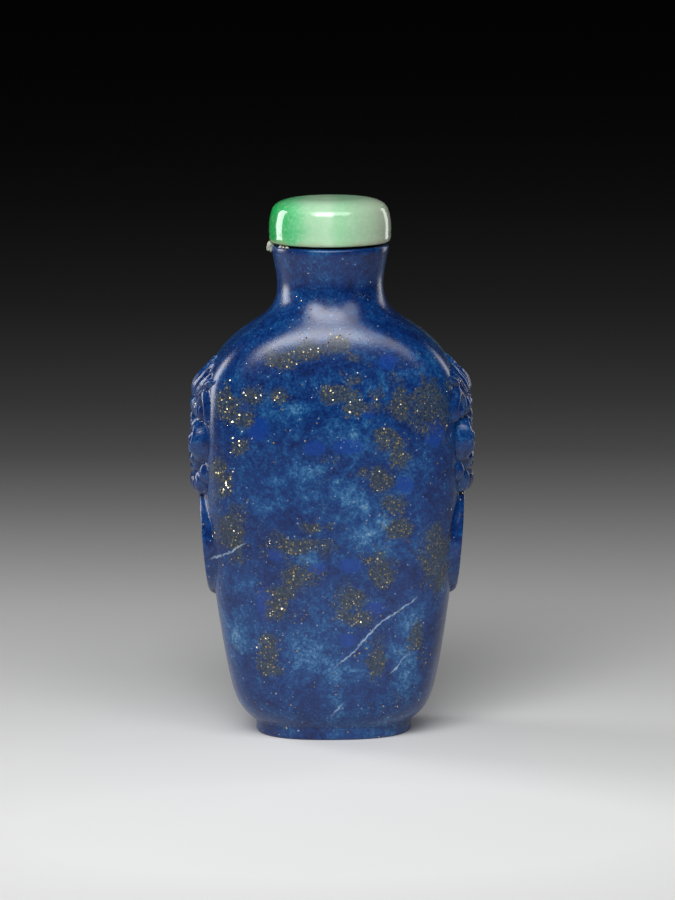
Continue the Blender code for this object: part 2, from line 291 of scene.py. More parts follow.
def mask_relief(lateral, height):
    """How far out the masked side is, from blocks to masses to cuts. Both halves match, left and right."""
    across = np.abs(lateral)
    ground = mask_ground(across, height)
    reach = ground.copy()
    for spec in LOBES.values():
        reach = join(reach, lobe(across, height, spec))
    for controls in LOCKS.values():
        raised, distance, along, radius = strand(across, height, ground, controls)
        raised -= 0.13 * (0.5 - 0.5 * np.cos(2 * math.pi * 1.5 * distance / radius))
        reach = join(reach, raised, 0.1)
    for name, controls in STRANDS.items():
        raised, distance, along, radius = strand(across, height, ground, controls)
        if name == "brow":
            raised -= 0.09 * (0.5 - 0.5 * np.cos(2 * math.pi * (along + 0.5 * distance) / 0.52))
        reach = join(reach, raised, 0.1)

    # Eye: a bulging ball between two lids, drilled for its pupil
    ball = lobe(across, height, (*EYE, *EYE_HALF, 0.9, 17.4))
    reach = join(reach, ball, 0.08)
    eye_share = np.sqrt(lobe_share(across, height, EYE, EYE_HALF))
    reach -= 0.16 * np.exp(-(((eye_share - 0.72) / 0.09) ** 2))
    reach -= drill(across, height, (EYE[0] - 0.05, EYE[1] - 0.1), (0.36, 0.36), 0.3)

    # Ear: hollowed inside its rim, with a tongue of cartilage
    reach -= drill(across, height, (5.5, 41.5), (0.75, 1.35), 0.45, -6)
    reach = join(reach, lobe(across, height, (5.55, 41.1, 0.38, 1.1, 0.6, 16.35)), 0.1)

    # Cheek: a curled tuft that winds in on itself
    for controls in (CURL, CURL_END):
        cheek = lobe(across, height, LOBES["cheek"]) - 0.12
        raised, distance, along, radius = strand(across, height, cheek, controls)
        reach = join(reach, raised, 0.08)
    reach -= groove(across, height, ((4.9, 39.1), (5.5, 38.6), (5.6, 37.6), (5.1, 36.8)), 0.12, 0.14)

    # Nose: nostrils and two wrinkles, and a cleft under it
    reach -= drill(across, height, (0.95, 36.35), (0.38, 0.32), 0.4)
    for level in (38.0, 38.7, 39.4):
        wrinkle = np.exp(-(((height - level - 0.25 * across) / 0.11) ** 2))
        reach -= 0.09 * wrinkle * smooth_step(across, 1.0, 0.6)
    reach -= groove(across, height, ((0.0, 35.9), (0.0, 34.4)), 0.3, 0.16)

    # Mouth: a dark cut under the lip, with a tusk and front teeth standing in it
    reach -= groove(across, height, MOUTH, 0.55, 0.24)
    reach = join(reach, lobe(across, height, (*TUSK, 0.36, 0.75, 0.6, 17.35)), 0.08)
    for tooth in (0.32, 0.95, 1.55):
        reach = join(reach, lobe(across, height, (tooth, 33.3, 0.28, 0.42, 0.4, 17.2)), 0.06)

    # Whiskers are small drilled dots, and the beard is combed down and in
    for s, z in ((1.2, 35.3), (1.9, 35.4), (2.6, 35.3), (1.5, 34.8), (2.3, 34.8)):
        reach -= drill(across, height, (s, z), (0.16, 0.16), 0.1)
    bearded = smooth_step(height, 33.2, 32.4) * smooth_step(height, 30.2, 30.9)
    beard = bearded * smooth_step(reach - ground, -0.1, 0.15)
    combed = across - 0.35 * (height - 32.0) * np.sign(across - 0.2)
    reach -= 0.1 * beard * (0.5 - 0.5 * np.cos(2 * math.pi * combed / 0.62))
    return reach


# %% [markdown]
# ## The mock rings
#
# Under each jaw hangs a ring that doesn't move: it is carved from the same stone, flat on its face.
# Its face leans in with the side of the bottle, and it is more rounded at the bottom, where hands
# have rubbed it.

# %% A flat ring in relief
RING_HEIGHT = 24.4
RING_OUTER = 6.9
RING_INNER = 5.0
RING_PROUD = 0.85
WALL_SLOPE = 3.4


def ring_relief(lateral, height):
    """The ring's flat face, rounded by a quarter circle to both rims, and a steep wall outside them."""
    upper, lower = bare_side(0.0, RING_HEIGHT + RING_OUTER), bare_side(0.0, RING_HEIGHT - RING_OUTER)
    slope = (upper - lower) / (2 * RING_OUTER)
    face = (upper + lower) / 2 + RING_PROUD + slope * (height - RING_HEIGHT)
    radius = np.hypot(lateral, height - RING_HEIGHT)
    low_down = smooth_step(RING_HEIGHT - height, 2.5, RING_OUTER)
    for inside, rounding in ((RING_OUTER - radius, 0.3 + 0.45 * low_down), (radius - RING_INNER, 0.35)):
        short = np.clip(1 - inside / rounding, 0, 1)
        face = face - rounding * (1 - np.sqrt(1 - short**2)) - WALL_SLOPE * np.maximum(-inside, 0)
    return face


def side_relief(lateral, height):
    """The whole narrow side: bare stone, mask and ring."""
    reach = bare_side(lateral, height)
    masked = (height > 29.5) & (height < 48.3)
    reach[masked] = np.maximum(reach[masked], mask_relief(lateral[masked], height[masked]))
    ringed = (height > 16.5) & (height < 32.0)
    reach[ringed] = join(reach[ringed], ring_relief(lateral[ringed], height[ringed]), 0.2)
    return reach


# %% [markdown]
# ## Where the grid is fine
#
# The front and back are smooth, so a point every half millimetre will do there. The masks need one
# about every 0.15 mm. The rings of the grid are therefore spaced by a weighted length: a length
# counts for more where the carving is, and the points are set at equal shares of the sum.

# %% Rows of the outside, from the foot's top to the lip
ROWS = 236


def rows_up_the_side():
    """Levels at equal shares of the outline's length, weighted by how fine the carving is there."""
    height, width = OUTLINE[:, 0], OUTLINE[:, 1]
    steps = np.hypot(np.diff(height), np.diff(width))
    middle = (height[1:] + height[:-1]) / 2
    masked = smooth_step(middle, 29.0, 30.0) * smooth_step(middle, 48.2, 47.4)
    ringed = smooth_step(middle, 16.0, 16.8) * smooth_step(middle, 31.0, 30.0)
    weight = 1 / 0.55 + (1 / 0.145 - 1 / 0.55) * masked + (1 / 0.2 - 1 / 0.55) * ringed
    total = np.concatenate([[0], np.cumsum(steps * weight)])
    return np.interp(np.linspace(0, total[-1], ROWS), total, height)


levels = rows_up_the_side()
print("rows on the masks:", int(((levels > 30) & (levels < 47.5)).sum()))


# %% Points round one level
QUARTER = 78


def quarter_turns(width, depth, squareness, focus):
    """Polar angles of a quarter's points at equal shares of its length, weighted to the narrow side."""
    angle = np.linspace(0, math.pi / 2, 700)
    powers = (np.cos(angle) / width) ** squareness + (np.sin(angle) / depth) ** squareness
    reach = powers ** (-1 / squareness)
    x, y = reach * np.cos(angle), reach * np.sin(angle)
    steps = np.hypot(np.diff(x), np.diff(y))
    side = smooth_step((y[1:] + y[:-1]) / 2, 8.2, 7.0)
    corner = smooth_step((x[1:] + x[:-1]) / 2, 11.8, 12.8) * (1 - side)
    fine = 1 / 0.62 + (1 / 0.15 - 1 / 0.62) * side + (1 / 0.36 - 1 / 0.62) * corner
    weight = focus * fine + (1 - focus) * 3.0
    total = np.concatenate([[0], np.cumsum(steps * weight)])
    return np.interp(np.linspace(0, total[-1], QUARTER + 1), total, angle)


def section_ring(height, width, depth, squareness, focus):
    """One closed ring: a quarter's angles mirrored into four, at r = (|cos/a|^n + |sin/b|^n)^(-1/n)."""
    first = quarter_turns(width, depth, squareness, focus)
    back = first[:0:-1]
    turns = np.concatenate([first[:-1], math.pi - back, math.pi + first[:-1], 2 * math.pi - back])
    cos, sin = np.cos(turns), np.sin(turns)
    reach = (np.abs(cos / width) ** squareness + np.abs(sin / depth) ** squareness) ** (-1 / squareness)
    return np.stack([reach * cos, reach * sin, np.full_like(reach, height)], -1)


# %% [markdown]
# ## Foot, lip and hollow
#
# The foot is a low oval rim round a shallow recess, which keeps the bottle steady. The lip is flat,
# and a bore of 7 mm leads into the body. The inside was ground out through that hole with bent
# tools, so its wall follows the outside at about 3 mm. The grid goes on over the lip and down
# inside, and ends in one point on the hollow's floor.

# %% The rows under the foot, over the lip and inside
FOOT_WIDTH = 9.75
FOOT_DEPTH = 7.2
FOOT_SQUARENESS = 2.4
FOOT_RIM = 1.7
RECESS = 0.6
LIP_RADIUS = 7.3
BORE_RADIUS = 3.5
BORE_BOTTOM = 53.2
WALL = 2.8
WALL_DROP = 2.2
HOLLOW_FLOOR = 5.0
HOLLOW_ROUND = 2.5
HOLLOW_SQUARENESS = 3.0


def foot_rows():
    """From the recess's middle out to its cove, across the rim, and up to the crease above the foot."""
    rows = []
    cove = FOOT_RIM + RECESS
    for share in (0.0, 0.25, 0.5, 0.75, 0.92):
        width, depth = max(share * (FOOT_WIDTH - cove), 1e-3), max(share * (FOOT_DEPTH - cove), 1e-3)
        rows.append((RECESS, width, depth, FOOT_SQUARENESS, 0.0))
    turn = np.radians([90, 67, 45, 22, 5])
    inset = np.concatenate([FOOT_RIM + RECESS * (1 - np.cos(turn)), [FOOT_RIM - 0.12, 1.0, EDGE_ROUND + 0.1]])
    level = np.concatenate([RECESS * np.sin(turn), [0.0, 0.0, 0.0]])
    turn = np.radians([0, 22, 45, 67, 90])
    inset = np.concatenate([inset, EDGE_ROUND * (1 - np.sin(turn)), [0.0, 0.0, 0.0]])
    level = np.concatenate([level, EDGE_ROUND * (1 - np.cos(turn)), [0.7, 1.1, FOOT_TOP - 0.1]])
    for z, cut in zip(level, inset):
        rows.append((z, FOOT_WIDTH - cut, FOOT_DEPTH - cut, FOOT_SQUARENESS, 0.0))
    return rows


def inside_rows():
    """Round the lip, in across it, down the bore and the hollow, and in over its floor to the middle."""
    rows = []
    for turn in np.radians([22, 45, 67, 90]):
        radius = LIP_RADIUS - EDGE_ROUND * (1 - math.cos(turn))
        rows.append((LIP_TOP - EDGE_ROUND * (1 - math.sin(turn)), radius, radius, 2.0, 0.0))
    for radius in (6.0, 5.0, 4.2, BORE_RADIUS + 0.25):
        rows.append((LIP_TOP, radius, radius, 2.0, 0.0))
    for turn in np.radians([30, 60, 90]):
        radius = BORE_RADIUS + 0.25 * (1 - math.sin(turn))
        rows.append((LIP_TOP - 0.25 * (1 - math.cos(turn)), radius, radius, 2.0, 0.0))
    for z in np.linspace(LIP_TOP - 1.5, BORE_BOTTOM, 5):
        rows.append((z, BORE_RADIUS, BORE_RADIUS, 2.0, 0.0))
    for z in np.concatenate([np.linspace(52.2, 44.0, 9), np.linspace(40.0, HOLLOW_FLOOR + HOLLOW_ROUND, 7)]):
        width, depth, _ = outline_at(z + WALL_DROP)
        half_sizes = max(width - WALL, BORE_RADIUS), max(depth - WALL, BORE_RADIUS)
        rows.append((z, *half_sizes, HOLLOW_SQUARENESS, 0.0))
    z, width, depth, squareness, focus = rows[-1]
    for turn in np.radians([30, 60, 90]):
        cut = HOLLOW_ROUND * (1 - math.cos(turn))
        rows.append((z - HOLLOW_ROUND * math.sin(turn), width - cut, depth - cut, squareness, focus))
    for share in (0.6, 0.3, 0.0):
        half_sizes = max(share * rows[-1][1], 1e-3), max(share * rows[-1][2], 1e-3)
        rows.append((HOLLOW_FLOOR, *half_sizes, squareness, focus))
    return rows


focus = smooth_step(levels, 8.0, 15.5) * smooth_step(levels, 52.0, 48.6)
outside_rows = np.stack([levels, *outline_at(levels), focus], -1)
all_rows = np.concatenate([foot_rows(), outside_rows, inside_rows()])
rings = np.stack([section_ring(*row) for row in all_rows])
print("grid of", rings.shape[0], "rows and", rings.shape[1], "columns")

# %% [markdown]
# ## Press the carving into the grid
#
# The two sides are the same design, cut by hand, so the second is never quite the first. A slow
# wave of about a tenth of a millimetre, different on each side, shifts the pattern a little before
# the relief is looked up.

# %% Carve the narrow sides
CARVED_DEPTH = 8.3


def hand_shift(across, height, side):
    """A slow wave, about 0.1 mm, that makes one mask differ from the other as hand work does."""
    return 0.09 * np.sin(0.9 * height + 1.7 * side) + 0.06 * np.sin(1.3 * across + 0.6 * height - side)


first, last = len(foot_rows()), len(foot_rows()) + ROWS
skin = rings[first:last].reshape(-1, 3)
carved = (np.abs(skin[:, 1]) < CARVED_DEPTH) & (np.abs(skin[:, 0]) > 9)
carved &= (skin[:, 2] > 16.4) & (skin[:, 2] < 48.3)
x, y, z = skin[carved].T
side = np.sign(x)
shift = hand_shift(y, z, side) * smooth_step(z, 30.0, 32.0) * smooth_step(z, 48.0, 45.0)
out = side_relief(y + shift, z + 0.5 * shift)
edge = smooth_step(np.abs(y), CARVED_DEPTH, CARVED_DEPTH - 0.6)
skin[carved, 0] = side * (np.abs(x) + np.maximum(out - bare_side(y + shift, z + 0.5 * shift), -0.6) * edge)
rings[first:last] = skin.reshape(ROWS, -1, 3)
bottle = closed_grid("bottle_stone", rings)
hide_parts("bottle")
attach(bottle, "root")

# %% [markdown]
# ## The stopper
#
# A disc of jadeite, domed and rounded over at the shoulder, widest a little above its flat seat. It
# is turned: its profile is carried once round the axis. A real one is never quite even, so the
# profile swells by a few hundredths of a millimetre as it goes round.

# %% Turn the stopper
TOP = 67.0
SEAT = 61.5
# Radius and height, from the middle of the seat out, up the side and over the dome
STOPPER_PROFILE = np.array(
    [
        (0.0, SEAT),
        (4.0, SEAT),
        (7.0, SEAT),
        (7.3, SEAT + 0.06),
        (7.45, SEAT + 0.25),
        (7.53, SEAT + 0.9),
        (7.55, SEAT + 1.6),
        (7.5, TOP - 2.9),
        (7.3, TOP - 1.9),
        (6.95, TOP - 1.1),
        (6.35, TOP - 0.62),
        (5.4, TOP - 0.28),
        (3.0, TOP - 0.07),
        (0.0, TOP),
    ]
)


def turned_rings(profile, per_span, around):
    """The profile's points carried round Z: x = r cos, y = r sin, with r swelling slightly as it turns."""
    fine = spline_through(profile[2:], per_span)
    seat = np.stack([np.linspace(0.0, profile[2, 0], 8)[:-1], np.full(7, profile[0, 1])], -1)
    radius, height = np.concatenate([seat, fine]).T
    angle = np.linspace(0, 2 * math.pi, around, endpoint=False)
    swell = 1 + 0.0035 * np.sin(angle + 0.8) + 0.002 * np.sin(3 * angle)
    reach = np.maximum(radius, 0)[:, None] * swell
    return np.stack([reach * np.cos(angle), reach * np.sin(angle), np.repeat(height[:, None], around, 1)], -1)


stopper_rings = turned_rings(STOPPER_PROFILE, 6, 192)
stopper_rings[..., 2] = np.clip(stopper_rings[..., 2], SEAT, TOP)
stopper = closed_grid("stopper_jade", stopper_rings)
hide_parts("stopper")
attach(stopper, "root")

# %% [markdown]
# ## Crumbs of wax in the seam
#
# A little old wax is left where the stopper meets the lip, in one lump at the left and a few grains
# beside it. Each is a small ball with its radius changed by a sum of waves, so no two are alike.

# %% Shape the crumbs
# Centre and half sizes in mm
CRUMBS = (
    ((-7.32, -1.2, 61.15), (0.42, 0.5, 0.62)),
    ((-7.62, -1.1, 60.85), (0.24, 0.3, 0.3)),
    ((-6.1, -4.25, 61.32), (0.22, 0.18, 0.14)),
    ((-5.7, -4.75, 61.3), (0.14, 0.15, 0.12)),
    ((-5.25, -5.2, 61.3), (0.2, 0.16, 0.12)),
)


def lump(centre, half, seed, rows=14, around=20):
    """A ball's rings, from its bottom to its top, with radius 1 + 0.18 * waves of the direction."""
    down = np.linspace(-math.pi / 2, math.pi / 2, rows)[:, None]
    angle = np.linspace(0, 2 * math.pi, around, endpoint=False)
    way = np.stack([np.cos(down) * np.cos(angle), np.cos(down) * np.sin(angle), np.sin(down) + 0 * angle], -1)
    wave = np.sin(way @ (3.1, 2.3, -1.9) + seed) + 0.6 * np.sin(way @ (-4.7, 5.2, 3.3) + 2 * seed)
    return np.array(centre) + way * np.array(half) * (1 + 0.18 * wave)[..., None]


lumps = [closed_grid(f"lump_{i}", lump(centre, half, i)) for i, (centre, half) in enumerate(CRUMBS)]
with bpy.context.temp_override(active_object=lumps[0], selected_editable_objects=lumps):
    bpy.ops.object.join()
wax = lumps[0]
wax.name = wax.data.name = "wax_crumbs"
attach(wax, "root")

# %% [markdown]
# ## Colours and nodes
#
# Colours are read off a screen as sRGB hex values, while the renderer adds light in linear values,
# so one function turns the first into the second. A second small function adds a node with its
# settings and links.

# %% Helpers for materials
def linear(code):
    """sRGB hex to linear red, green, blue and alpha."""
    parts = [int(code[i : i + 2], 16) / 255 for i in (1, 3, 5)]
    return [c / 12.92 if c <= 0.04045 else ((c + 0.055) / 1.055) ** 2.4 for c in parts] + [1.0]


def add_node(tree, kind, inputs=None, **settings):
    """Adds a node. `inputs` maps a socket's name or number to a value or to another node's output."""
    made = tree.nodes.new(kind)
    for name, value in settings.items():
        setattr(made, name, value)
    for socket, value in (inputs or {}).items():
        if isinstance(value, bpy.types.NodeSocket):
            tree.links.new(value, made.inputs[socket])
        else:
            made.inputs[socket].default_value = value
    return made


def new_material(name):
    """An empty node material with a shader, its tree, and object coordinates counted in millimetres."""
    material = bpy.data.materials.new(name)
    material.use_nodes = True
    tree = material.node_tree
    shader = tree.nodes["Principled BSDF"]
    place = add_node(tree, "ShaderNodeTexCoord")
    mm = add_node(tree, "ShaderNodeMapping", {"Vector": place.outputs["Object"], "Scale": (1000, 1000, 1000)})
    return material, tree, shader, mm.outputs["Vector"]


def ramp(tree, value, stops, interpolation="LINEAR"):
    """A colour ramp through (place, hex colour) stops."""
    made = add_node(tree, "ShaderNodeValToRGB", {"Fac": value})
    made.color_ramp.interpolation = interpolation
    keys = made.color_ramp.elements
    while len(keys) < len(stops):
        keys.new(0.5)
    for key, (place, code) in zip(keys, stops):
        key.position = place
    for key, (place, code) in zip(made.color_ramp.elements, stops):
        key.color = linear(code)
    return made.outputs["Color"]


def between(tree, value, start, end, low=0.0, high=1.0, smooth=True):
    """Maps start..end to low..high along an S-curve or a straight line, and holds the ends."""
    given = {"Value": value, "From Min": start, "From Max": end, "To Min": low, "To Max": high}
    kind = "SMOOTHSTEP" if smooth else "LINEAR"
    return add_node(tree, "ShaderNodeMapRange", given, interpolation_type=kind).outputs["Result"]


def noise(tree, vector, scale, detail, roughness):
    """Fractal noise from 0 to 1. `scale` is in waves per millimetre."""
    given = {"Vector": vector, "Scale": scale, "Detail": detail, "Roughness": roughness}
    return add_node(tree, "ShaderNodeTexNoise", given).outputs


def maths(tree, operation, a, b=0.0, c=0.0):
    return add_node(tree, "ShaderNodeMath", {0: a, 1: b, 2: c}, operation=operation).outputs["Value"]


def blend(tree, share, under, over):
    """Mixes two colours by a share from 0 to 1."""
    return add_node(tree, "ShaderNodeMix", {0: share, 6: under, 7: over}, data_type="RGBA").outputs[2]


# %% [markdown]
# ## Where the stone is dark, blue or pale
#
# Lapis lazuli is a rock of several minerals. Lazurite gives the blue, pyrite the gold specks, often
# in darker grey rock, and calcite the pale clouds and thin veins. Their large patches are this
# stone's own, so they are placed one by one, in millimetres across and up the front, as soft spots
# kept in the mesh as numbers per point. The back has never been seen, so its spots are drawn by
# chance from a fixed seed.

# %% Spots on the stone
# Across, height, half width and half height, in mm
ROCK_SPOTS = (
    (-3.0, 49.0, 2.6, 1.0), (0.9, 49.9, 1.4, 0.8), (-6.2, 48.0, 2.1, 0.9), (2.5, 48.3, 0.9, 0.6),
    (-6.5, 43.4, 1.3, 1.0), (-9.5, 43.6, 1.5, 1.0), (0.9, 44.0, 2.1, 1.1), (3.0, 45.5, 0.9, 0.7),
    (5.7, 44.0, 0.9, 0.8), (8.4, 43.2, 1.3, 2.3), (11.7, 42.5, 2.2, 2.7), (-12.8, 42.5, 1.5, 2.1),
    (-10.8, 40.8, 1.3, 1.0), (-11.2, 37.6, 1.2, 0.8), (-13.5, 33.3, 1.3, 2.3), (3.0, 42.2, 1.6, 0.8),
    (6.5, 38.7, 1.1, 1.3), (8.3, 36.4, 1.1, 2.1), (4.2, 34.3, 1.5, 0.8), (6.4, 33.2, 1.4, 1.1),
    (7.8, 30.2, 1.3, 1.4), (-2.2, 27.3, 1.9, 0.8), (8.5, 27.4, 1.3, 1.6), (-3.9, 25.3, 3.4, 1.2),
    (-4.4, 21.6, 1.7, 1.9), (6.0, 21.4, 1.6, 1.9), (-6.1, 19.3, 1.6, 0.9), (-6.7, 17.3, 1.4, 1.6),
    (2.2, 18.2, 1.9, 1.8), (2.6, 16.2, 1.9, 1.0), (12.6, 22.8, 1.4, 3.8), (-7.9, 12.2, 1.1, 1.9),
    (-8.1, 9.6, 1.3, 1.0), (5.2, 10.8, 1.0, 2.3), (10.7, 13.4, 0.9, 2.2), (-12.4, 27.0, 1.5, 3.0),
)
COBALT_SPOTS = (
    (6.8, 47.7, 1.2, 1.0), (-9.0, 39.7, 1.5, 1.6), (-10.9, 42.2, 0.9, 1.0), (4.5, 41.8, 0.8, 1.0),
    (-2.0, 37.3, 1.4, 1.0), (2.0, 37.5, 1.9, 1.0), (8.9, 32.6, 1.1, 1.2), (2.2, 22.7, 1.5, 1.0),
    (-1.8, 22.3, 1.3, 0.7), (-7.0, 24.2, 1.0, 0.9), (5.2, 17.2, 1.3, 0.9), (1.8, 13.3, 1.1, 0.9),
    (12.6, 39.0, 1.3, 1.8), (-8.4, 18.0, 0.9, 2.5),
)
PALE_SPOTS = (
    (-4.3, 42.2, 1.5, 0.9), (-6.6, 33.2, 0.9, 0.5), (-2.8, 34.3, 1.6, 0.9), (2.6, 38.5, 0.5, 0.9),
    (0.6, 33.2, 1.2, 0.4), (8.6, 31.7, 0.8, 0.3), (3.6, 29.9, 0.7, 0.6), (-8.3, 30.0, 1.8, 0.8),
    (6.2, 27.8, 0.8, 1.0), (4.2, 26.5, 1.6, 0.9), (-3.6, 23.5, 1.8, 0.8), (-3.0, 13.2, 3.0, 2.4),
    (-1.5, 11.0, 1.4, 0.5), (2.2, 9.0, 2.6, 1.2), (9.2, 11.5, 1.5, 3.8), (-11.7, 14.0, 0.7, 2.2),
    (1.5, 31.5, 2.5, 1.5), (6.0, 24.5, 1.5, 1.2),
)
chance = np.random.default_rng(26)


def chance_spots(count):
    """Spots for the back: places all over it, and sizes that are mostly small."""
    size = chance.lognormal(0.25, 0.4, count)
    flat = chance.uniform(0.5, 1.2, count)
    return np.stack([chance.uniform(-14, 14, count), chance.uniform(2, 50, count), size, size * flat], -1)


def spot_field(points, front_spots, back_count):
    """The strongest spot at each point: exp(-share), on the side of the bottle that the spot belongs to."""
    facing = smooth_step(-points[:, 1], -1.0, 1.0)
    field = np.zeros(len(points))
    for spots, seen in ((np.array(front_spots), facing), (chance_spots(back_count), 1 - facing)):
        side, up = points[:, :1] - spots[:, 0], points[:, 2:] - spots[:, 1]
        share = (side / spots[:, 2]) ** 2 + (up / spots[:, 3]) ** 2
        field = np.maximum(field, seen * np.exp(-0.7 * share).max(1))
    return field


def mesh_points(piece):
    points = np.empty(len(piece.data.vertices) * 3, np.float32)
    piece.data.vertices.foreach_get("co", points)
    return points.reshape(-1, 3) / MM


def keep_numbers(piece, name, values):
    """Stores one number per point, for the material to read."""
    piece.data.attributes.new(name, "FLOAT", "POINT").data.foreach_set("value", values.astype(np.float32))


stone_points = mesh_points(bottle)
for name, spots, back_count in (
    ("rock", ROCK_SPOTS, 40),
    ("cobalt", COBALT_SPOTS, 16),
    ("pale", PALE_SPOTS, 18),
):
    field = spot_field(stone_points, spots, back_count)
    keep_numbers(bottle, name, field)
    print(name, "covers", round(100 * float((field > 0.5).mean())), "% of the points")

# %% [markdown]
# Veins of calcite are hair-thin, about 0.15 mm, and much finer than the grid on the front. So each
# point keeps its signed distance to the vein, which is smooth, and the material draws a line where
# that passes through zero.

# %% Veins as signed distances
VEINS = {
    "vein_a": ((10.4, 18.6), (7.8, 16.7), (5.2, 14.9), (3.8, 13.2), (2.3, 11.6), (0.2, 9.9)),
    "vein_b": ((9.6, 11.4), (8.7, 11.1), (8.2, 10.2), (7.4, 9.3), (6.7, 8.7)),
    "vein_c": ((1.2, 5.2), (0.4, 4.2), (-0.5, 3.2)),
    "vein_d": ((-10.6, 25.6), (-12.2, 24.5), (-13.4, 23.8), (-15.2, 23.0)),
}


def vein_numbers(points, controls):
    """Signed distance to the vein's line, and 1 beside it fading to 0 past its ends and on the bottle's back."""
    distance, along, _ = along_path(points[:, 0], points[:, 2], [(*point, 0.0) for point in controls])
    spans = np.linalg.norm(np.diff(np.array(controls), axis=0), axis=1).sum()
    inside = smooth_step(along, -0.2, 1.0) * smooth_step(along, spans + 0.2, spans - 1.0)
    return distance, inside * smooth_step(-points[:, 1], 0.0, 1.0)


for name, controls in VEINS.items():
    distance, beside = vein_numbers(stone_points, controls)
    keep_numbers(bottle, name, distance)
    keep_numbers(bottle, name + "_reach", beside)

# %% [markdown]
# ## Polished lapis lazuli
#
# Lapis takes a soft polish, never a glassy one, because its minerals differ in hardness: lazurite
# and calcite wear down round the harder pyrite. That gives a broad, slightly grainy highlight. Its
# index is about 1.5.
#
# Large clouds are 5 to 8 mm, mottling about 1 mm, and single grains 0.2 to 0.4 mm. Pyrite specks
# are really 0.05 to 0.3 mm, and are drawn from 0.12 mm, or they would vanish between the picture's
# dots.

# %% Lapis: clouds, grains and rock
def attribute(tree, name):
    return add_node(tree, "ShaderNodeAttribute", attribute_name=name).outputs["Fac"]


lapis, tree, shader, mm = new_material("polished_lapis_lazuli")
swirl = noise(tree, mm, 0.3, 2.0, 0.5)["Color"]
drift = add_node(tree, "ShaderNodeVectorMath", {0: swirl, 1: (3.0, 3.0, 3.0), 2: mm}, operation="MULTIPLY_ADD")
flowing = drift.outputs["Vector"]
cloud = noise(tree, flowing, 0.17, 3.0, 0.55)["Fac"]
mottle = noise(tree, flowing, 0.95, 5.0, 0.7)["Fac"]
grain = noise(tree, mm, 3.2, 3.0, 0.75)["Fac"]

tone = maths(tree, "MULTIPLY_ADD", cloud, 0.75, -0.42)
tone = maths(tree, "MULTIPLY_ADD", mottle, 0.85, tone)
tone = maths(tree, "MULTIPLY_ADD", grain, 0.8, tone)
tone = maths(tree, "MULTIPLY_ADD", attribute(tree, "pale"), 0.22, tone)
tone = maths(tree, "ADD", tone, -0.32)
blue = ramp(
    tree,
    tone,
    ((0.05, "#050f2c"), (0.3, "#07235a"), (0.48, "#0b3570"), (0.62, "#174c83"), (0.78, "#3c6f9c"), (0.95, "#7d9bb0")),
)

cobalt = between(tree, maths(tree, "MULTIPLY_ADD", mottle, 0.5, attribute(tree, "cobalt")), 0.62, 0.95)
blue = blend(tree, maths(tree, "MULTIPLY", cobalt, 0.7), blue, linear("#0a3a8c"))

patchy = noise(tree, flowing, 0.38, 5.0, 0.65)["Fac"]
rock_sum = maths(tree, "MULTIPLY_ADD", attribute(tree, "rock"), 0.42, patchy)
rock_sum = maths(tree, "MULTIPLY_ADD", grain, 0.3, rock_sum)
rock = between(tree, rock_sum, 0.74, 0.98)
rock_colour = ramp(
    tree, maths(tree, "MULTIPLY_ADD", grain, 1.2, -0.1), ((0.2, "#131a22"), (0.5, "#2f3c49"), (0.8, "#5f6358"))
)
stone = blend(tree, maths(tree, "MULTIPLY", rock, 0.8), blue, rock_colour)

# %% [markdown]
# Pyrite comes as small crystals, each with its own tilt, so only some flash at once. Cells of a
# Voronoi pattern give one crystal each. A random number per cell decides whether it is there, and
# far more are there in the dark rock.

# %% Lapis: pyrite, calcite and veins
def specks(tree, vector, per_mm, size, needed):
    """1 inside round specks: one in each cell whose random number is above `needed`."""
    given = {"Vector": vector, "Scale": per_mm, "Randomness": 1.0}
    cells = add_node(tree, "ShaderNodeTexVoronoi", given)
    parts = add_node(tree, "ShaderNodeSeparateColor", {"Color": cells.outputs["Color"]})
    there = maths(tree, "GREATER_THAN", parts.outputs["Red"], needed)
    reach = maths(tree, "MULTIPLY_ADD", parts.outputs["Green"], size * 0.8, size * 0.5)
    inside = maths(tree, "LESS_THAN", cells.outputs["Distance"], reach)
    return maths(tree, "MULTIPLY", there, inside), cells.outputs["Color"], parts.outputs["Blue"]


needed = between(tree, rock_sum, 0.7, 1.05, 0.985, 0.52)
pyrite, crystal_tilt, crystal_tone = specks(tree, mm, 3.4, 0.34, needed)
gold = ramp(tree, crystal_tone, ((0.0, "#8d7440"), (0.6, "#c8b075"), (1.0, "#efe6c8")))
calcite_grains, _, _ = specks(tree, mm, 2.6, 0.22, 0.93)
stone = blend(tree, maths(tree, "MULTIPLY", calcite_grains, 0.55), stone, linear("#9db4cc"))

wander = maths(tree, "MULTIPLY_ADD", noise(tree, mm, 1.1, 3.0, 0.6)["Fac"], 0.7, -0.35)
for name in VEINS:
    off = maths(tree, "ABSOLUTE", maths(tree, "ADD", attribute(tree, name), wander))
    line = between(tree, off, 0.16, 0.03)
    line = maths(tree, "MULTIPLY", line, attribute(tree, name + "_reach"))
    line = maths(tree, "MULTIPLY", line, between(tree, mottle, 0.35, 0.6, 0.2, 0.75))
    stone = blend(tree, line, stone, linear("#a5bdd3"))
stone = blend(tree, pyrite, stone, gold)

